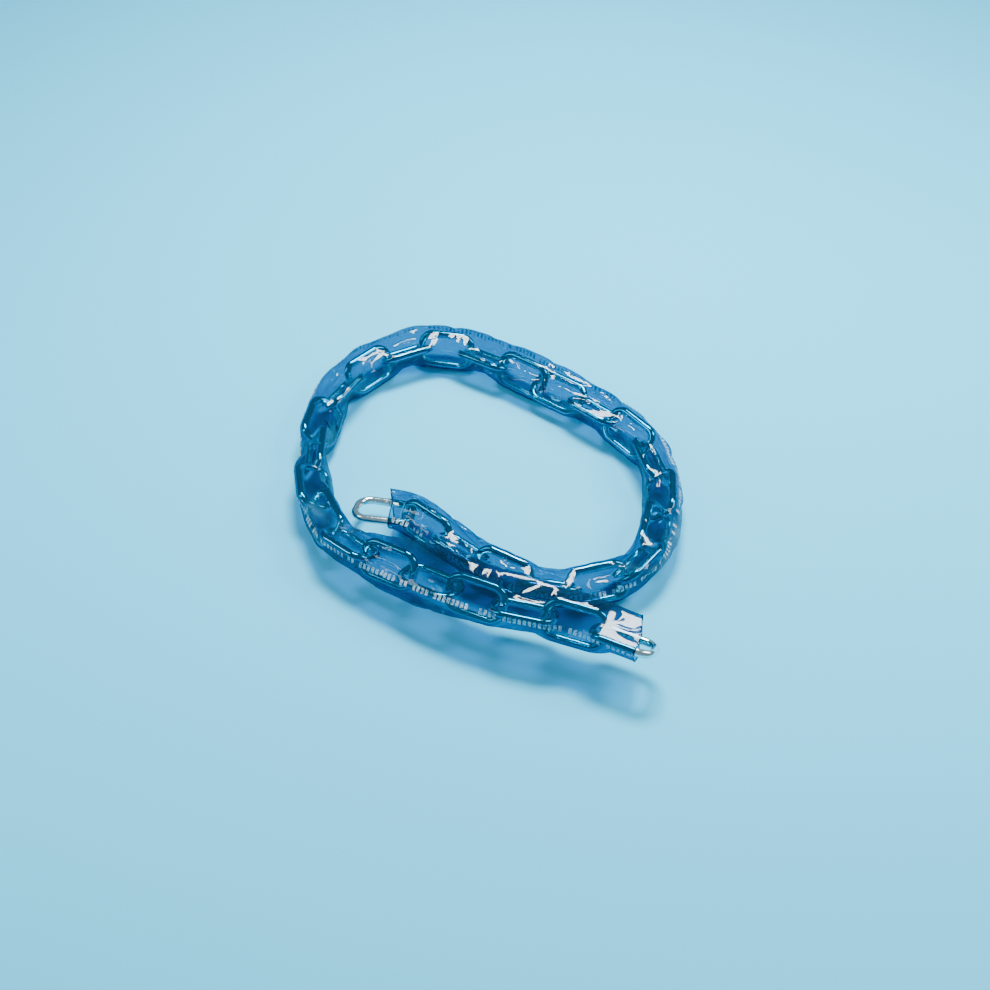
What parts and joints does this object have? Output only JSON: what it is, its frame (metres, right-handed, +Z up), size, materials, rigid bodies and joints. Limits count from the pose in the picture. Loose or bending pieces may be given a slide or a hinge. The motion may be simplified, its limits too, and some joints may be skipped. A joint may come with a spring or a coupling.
{
  "type": "security chain",
  "caption": "Heavy oval-link steel security chain inside a clear blue flexible sleeve, laid in a loose spiral coil, with a bare end link showing at each end for a padlock.",
  "frame": {"origin": "under the middle of the coil's box, on the table", "axes": "+Z up, +Y away from the side with the two ends, +X to the right of it"},
  "size_m": [0.414, 0.4839, 0.0645],
  "materials": {
    "link": "polished bright zinc plate over hardened steel",
    "sleeve": "clear blue flexible vinyl tube, glossy"
  },
  "bodies": {
    "end_link_a_body": {"end_link_a": "link", "sleeve_01": "sleeve"},
    "link_02_body": {"link_02": "link", "sleeve_02": "sleeve"},
    "link_03_body": {"link_03": "link", "sleeve_03": "sleeve"},
    "link_04_body": {"link_04": "link", "sleeve_04": "sleeve"},
    "link_05_body": {"link_05": "link", "sleeve_05": "sleeve"},
    "link_06_body": {"link_06": "link", "sleeve_06": "sleeve"},
    "link_07_body": {"link_07": "link", "sleeve_07": "sleeve"},
    "link_08_body": {"link_08": "link", "sleeve_08": "sleeve"},
    "link_09_body": {"link_09": "link", "sleeve_09": "sleeve"},
    "link_10_body": {"link_10": "link", "sleeve_10": "sleeve"},
    "link_11_body": {"link_11": "link", "sleeve_11": "sleeve"},
    "link_12_body": {"link_12": "link", "sleeve_12": "sleeve"},
    "link_13_body": {"link_13": "link", "sleeve_13": "sleeve"},
    "link_14_body": {"link_14": "link", "sleeve_14": "sleeve"},
    "link_15_body": {"link_15": "link", "sleeve_15": "sleeve"},
    "link_16_body": {"link_16": "link", "sleeve_16": "sleeve"},
    "link_17_body": {"link_17": "link", "sleeve_17": "sleeve"},
    "link_18_body": {"link_18": "link", "sleeve_18": "sleeve"},
    "link_19_body": {"link_19": "link", "sleeve_19": "sleeve"},
    "link_20_body": {"link_20": "link", "sleeve_20": "sleeve"},
    "link_21_body": {"link_21": "link", "sleeve_21": "sleeve"},
    "link_22_body": {"link_22": "link", "sleeve_22": "sleeve"},
    "link_23_body": {"link_23": "link", "sleeve_23": "sleeve"},
    "link_24_body": {"link_24": "link", "sleeve_24": "sleeve"},
    "link_25_body": {"link_25": "link", "sleeve_25": "sleeve"},
    "link_26_body": {"link_26": "link", "sleeve_26": "sleeve"},
    "link_27_body": {"link_27": "link", "sleeve_27": "sleeve"},
    "link_28_body": {"link_28": "link", "sleeve_28": "sleeve"},
    "link_29_body": {"link_29": "link", "sleeve_29": "sleeve"},
    "end_link_b_body": {"end_link_b": "link", "sleeve_30": "sleeve"}
  },
  "joints": [
    {"name": "bend_01", "type": "hinge", "parent": "link_02_body", "child": "end_link_a_body", "pos_m": [-0.07867, -0.03891, 0.022], "axis": [0, 0, 1], "range_deg": [-30, 0], "deforming": ["sleeve_01", "sleeve_02"]},
    {"name": "bend_02", "type": "hinge", "parent": "link_03_body", "child": "link_02_body", "pos_m": [-0.04144, -0.07015, 0.022], "axis": [0, 0, 1], "range_deg": [-10, 0], "deforming": ["sleeve_02", "sleeve_03"]},
    {"name": "bend_03", "type": "hinge", "parent": "link_04_body", "child": "link_03_body", "pos_m": [-0.00421, -0.10139, 0.022], "axis": [0, 0, 1], "range_deg": [-8, 0], "deforming": ["sleeve_03", "sleeve_04"]},
    {"name": "bend_04", "type": "hinge", "parent": "link_05_body", "child": "link_04_body", "pos_m": [0.03788, -0.12569, 0.022], "axis": [0, 0, 1], "range_deg": [-8, 0], "deforming": ["sleeve_04", "sleeve_05"]},
    {"name": "bend_05", "type": "hinge", "parent": "link_06_body", "child": "link_05_body", "pos_m": [0.08574, -0.13413, 0.022], "axis": [0, 0, 1], "range_deg": [-5, 0], "deforming": ["sleeve_05", "sleeve_06"]},
    {"name": "bend_06", "type": "hinge", "parent": "link_07_body", "child": "link_06_body", "pos_m": [0.13268, -0.12155, 0.022], "axis": [0, 0, 1], "range_deg": [-2, 0], "deforming": ["sleeve_06", "sleeve_07"]},
    {"name": "bend_07", "type": "hinge", "parent": "link_08_body", "child": "link_07_body", "pos_m": [0.16392, -0.08432, 0.022], "axis": [0, 0, 1], "range_deg": [-4, 0], "deforming": ["sleeve_07", "sleeve_08"]},
    {"name": "bend_08", "type": "hinge", "parent": "link_09_body", "child": "link_08_body", "pos_m": [0.1765, -0.03738, 0.022], "axis": [0, 0, 1], "range_deg": [-6, 0], "deforming": ["sleeve_08", "sleeve_09"]},
    {"name": "bend_09", "type": "hinge", "parent": "link_10_body", "child": "link_09_body", "pos_m": [0.18074, 0.01104, 0.022], "axis": [0, 0, 1], "range_deg": [-4, 0], "deforming": ["sleeve_09", "sleeve_10"]},
    {"name": "bend_10", "type": "hinge", "parent": "link_11_body", "child": "link_10_body", "pos_m": [0.16816, 0.05798, 0.022], "axis": [0, 0, 1], "range_deg": [-4, 0], "deforming": ["sleeve_10", "sleeve_11"]},
    {"name": "bend_11", "type": "hinge", "parent": "link_12_body", "child": "link_11_body", "pos_m": [0.13692, 0.09521, 0.022], "axis": [0, 0, 1], "range_deg": [-2, 0], "deforming": ["sleeve_11", "sleeve_12"]},
    {"name": "bend_12", "type": "hinge", "parent": "link_13_body", "child": "link_12_body", "pos_m": [0.09969, 0.12645, 0.022], "axis": [0, 0, 1], "range_deg": [-1, 0], "deforming": ["sleeve_12", "sleeve_13"]},
    {"name": "bend_13", "type": "hinge", "parent": "link_13_body", "child": "link_14_body", "pos_m": [0.05988, 0.15433, 0.022], "axis": [0, 0, -1], "range_deg": [0, 10], "deforming": ["sleeve_13", "sleeve_14"]},
    {"name": "bend_14", "type": "hinge", "parent": "link_14_body", "child": "link_15_body", "pos_m": [0.02007, 0.1822, 0.022], "axis": [0, 0, -1], "range_deg": [0, 15], "deforming": ["sleeve_14", "sleeve_15"]},
    {"name": "bend_15", "type": "hinge", "parent": "link_15_body", "child": "link_16_body", "pos_m": [-0.02202, 0.2065, 0.022], "axis": [0, 0, -1], "range_deg": [0, 30], "deforming": ["sleeve_15", "sleeve_16"]},
    {"name": "bend_16", "type": "hinge", "parent": "link_16_body", "child": "link_17_body", "pos_m": [-0.06989, 0.21494, 0.022], "axis": [0, 0, -1], "range_deg": [0, 45], "deforming": ["sleeve_16", "sleeve_17"]},
    {"name": "bend_17", "type": "hinge", "parent": "link_17_body", "child": "link_18_body", "pos_m": [-0.11393, 0.1944, 0.022], "axis": [0, 0, -1], "range_deg": [0, 30], "deforming": ["sleeve_17", "sleeve_18"]},
    {"name": "bend_18", "type": "hinge", "parent": "link_18_body", "child": "link_19_body", "pos_m": [-0.1483, 0.16004, 0.022], "axis": [0, 0, -1], "range_deg": [0, 25], "deforming": ["sleeve_18", "sleeve_19"]},
    {"name": "bend_19", "type": "hinge", "parent": "link_19_body", "child": "link_20_body", "pos_m": [-0.1726, 0.11795, 0.022], "axis": [0, 0, -1], "range_deg": [0, 30], "deforming": ["sleeve_19", "sleeve_20"]},
    {"name": "bend_20", "type": "hinge", "parent": "link_20_body", "child": "link_21_body", "pos_m": [-0.18104, 0.07009, 0.022], "axis": [0, 0, -1], "range_deg": [0, 20], "deforming": ["sleeve_20", "sleeve_21"]},
    {"name": "bend_21", "type": "hinge", "parent": "link_21_body", "child": "link_22_body", "pos_m": [-0.18104, 0.02149, 0.02262], "axis": [0, 0, -1], "range_deg": [0, 20], "deforming": ["sleeve_21", "sleeve_22"]},
    {"name": "bend_22", "type": "hinge", "parent": "link_22_body", "child": "link_23_body", "pos_m": [-0.17261, -0.0263, 0.02518], "axis": [0, 0, -1], "range_deg": [0, 25], "deforming": ["sleeve_22", "sleeve_23"]},
    {"name": "bend_23", "type": "hinge", "parent": "link_23_body", "child": "link_24_body", "pos_m": [-0.15213, -0.07021, 0.02909], "axis": [0, 0, -1], "range_deg": [0, 35], "deforming": ["sleeve_23", "sleeve_24"]},
    {"name": "bend_24", "type": "hinge", "parent": "link_24_body", "child": "link_25_body", "pos_m": [-0.11499, -0.10138, 0.03227], "axis": [0, 0, -1], "range_deg": [0, 20], "deforming": ["sleeve_24", "sleeve_25"]},
    {"name": "bend_25", "type": "hinge", "parent": "link_25_body", "child": "link_26_body", "pos_m": [-0.07299, -0.12563, 0.03545], "axis": [0, 0, -1], "range_deg": [0, 10], "deforming": ["sleeve_25", "sleeve_26"]},
    {"name": "bend_26", "type": "hinge", "parent": "link_26_body", "child": "link_27_body", "pos_m": [-0.03103, -0.14985, 0.03936], "axis": [0, 0, -1], "range_deg": [0, 15], "deforming": ["sleeve_26", "sleeve_27"]},
    {"name": "bend_27", "type": "hinge", "parent": "link_27_body", "child": "link_28_body", "pos_m": [0.01295, -0.17036, 0.04192], "axis": [0, 0, -1], "range_deg": [0, 35], "deforming": ["sleeve_27", "sleeve_28"]},
    {"name": "bend_28", "type": "hinge", "parent": "link_28_body", "child": "link_29_body", "pos_m": [0.05989, -0.18294, 0.04254], "axis": [0, 0, -1], "range_deg": [0, 25], "deforming": ["sleeve_28", "sleeve_29"]},
    {"name": "bend_29", "type": "hinge", "parent": "link_29_body", "child": "end_link_b_body", "pos_m": [0.10556, -0.19956, 0.04254], "axis": [0, 0, -1], "range_deg": [0, 25], "deforming": ["sleeve_29", "sleeve_30"]}
  ]
}
